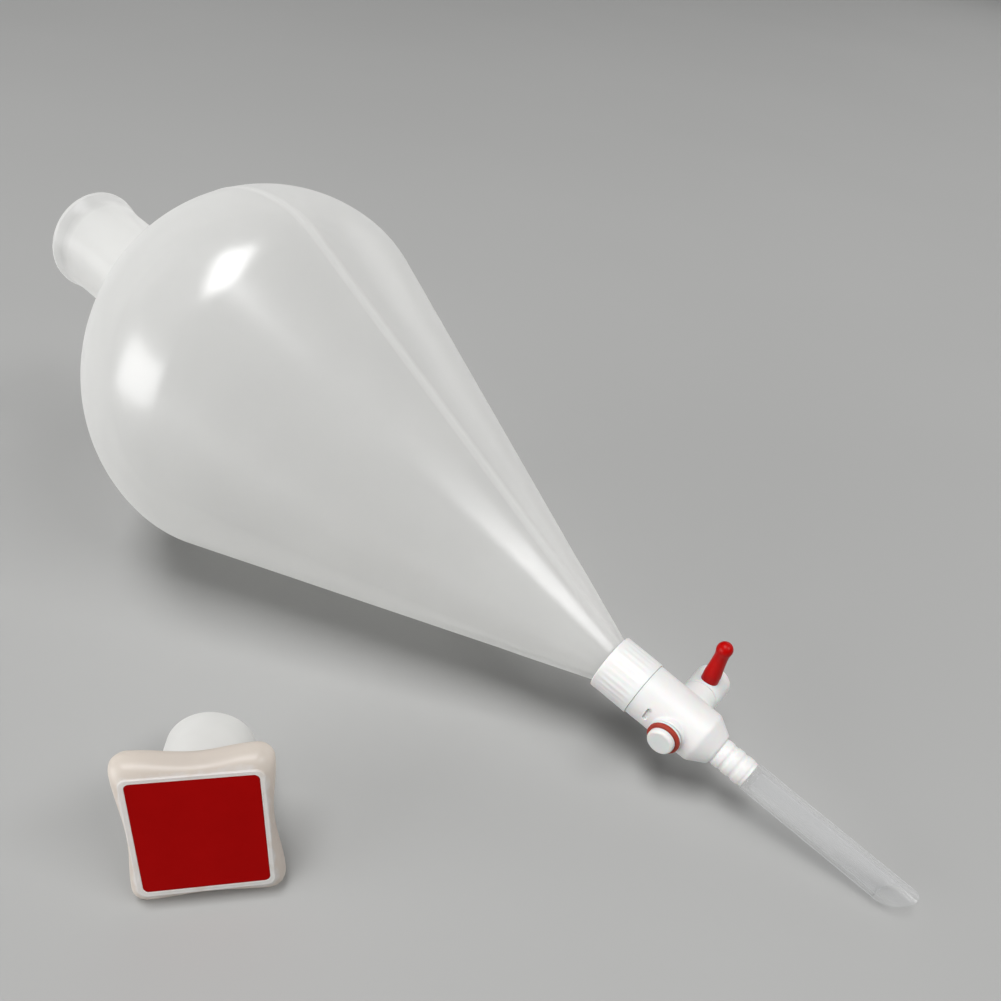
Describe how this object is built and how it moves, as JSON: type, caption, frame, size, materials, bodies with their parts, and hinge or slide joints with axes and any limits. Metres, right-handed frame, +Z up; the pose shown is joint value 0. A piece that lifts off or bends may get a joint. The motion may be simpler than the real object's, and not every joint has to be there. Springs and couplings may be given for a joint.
{
  "type": "separatory funnel",
  "caption": "Pear-shaped separatory funnel with a turning stopcock, clear slanted stem and square-capped stopper, lying on a bench.",
  "frame": {"origin": "on the bench plane directly under the middle of the bulb", "axes": "+Z up from the bench, +X horizontally from the neck towards the stem, Y along the stopcock key with +Y towards its hub"},
  "size_m": [0.3621, 0.2079, 0.1287],
  "materials": {
    "translucent_polypropylene": "satin, milky and translucent",
    "white_polypropylene": "satin",
    "ptfe": "waxy",
    "red_plastic": "satin",
    "red_seal": "matt",
    "clear_plastic": "clear and glossy",
    "stopper_polypropylene": "satin, milky"
  },
  "bodies": {
    "vessel": {"funnel_body": "translucent_polypropylene"},
    "stopcock": {"stopcock_body": "white_polypropylene", "coupling_gasket": "ptfe"},
    "collar": {"coupling_collar": "white_polypropylene"},
    "key": {"stopcock_key": "ptfe", "key_lever": "red_plastic"},
    "key_washers": {"key_thrust_washer": "ptfe", "key_seal_ring": "red_seal"},
    "lock_nut": {"key_lock_nut": "white_polypropylene"},
    "stem": {"stem_tube": "clear_plastic"},
    "stopper": {"stopper_body": "stopper_polypropylene", "stopper_plate": "red_plastic"}
  },
  "joints": [
    {"name": "stopcock_draw", "type": "slide", "parent": "vessel", "child": "stopcock", "axis": [0.9742, 0, -0.2255], "range_m": [0, 0.005]},
    {"name": "collar_turn", "type": "hinge", "parent": "stopcock", "child": "collar", "pos_m": [0.15101, 0, 0.0276], "axis": [0.9742, 0, -0.2255], "range_deg": [0, 720]},
    {"name": "key_turn", "type": "hinge", "parent": "stopcock", "child": "key", "pos_m": [0.17273, 0, 0.02257], "axis": [0, 1, 0], "continuous": true},
    {"name": "washer_draw", "type": "slide", "parent": "key", "child": "key_washers", "axis": [0, -1, 0], "range_m": [0, 0.0012]},
    {"name": "nut_turn", "type": "hinge", "parent": "key_washers", "child": "lock_nut", "pos_m": [0.17273, 0, 0.02257], "axis": [0, -1, 0], "range_deg": [0, 540]},
    {"name": "stem_pull", "type": "slide", "parent": "stopcock", "child": "stem", "axis": [0.9742, 0, -0.2255], "range_m": [0, 0.0085]},
    {"name": "stopper_lift", "type": "slide", "parent": "vessel", "child": "stopper", "axis": [0, 0, 1], "range_m": [0, 0.12]}
  ],
  "couplings": [
    {"joint": "collar_turn", "follows": "stopcock_draw", "rad_per_m": 2513.3},
    {"joint": "nut_turn", "follows": "washer_draw", "rad_per_m": 7853.9}
  ]
}
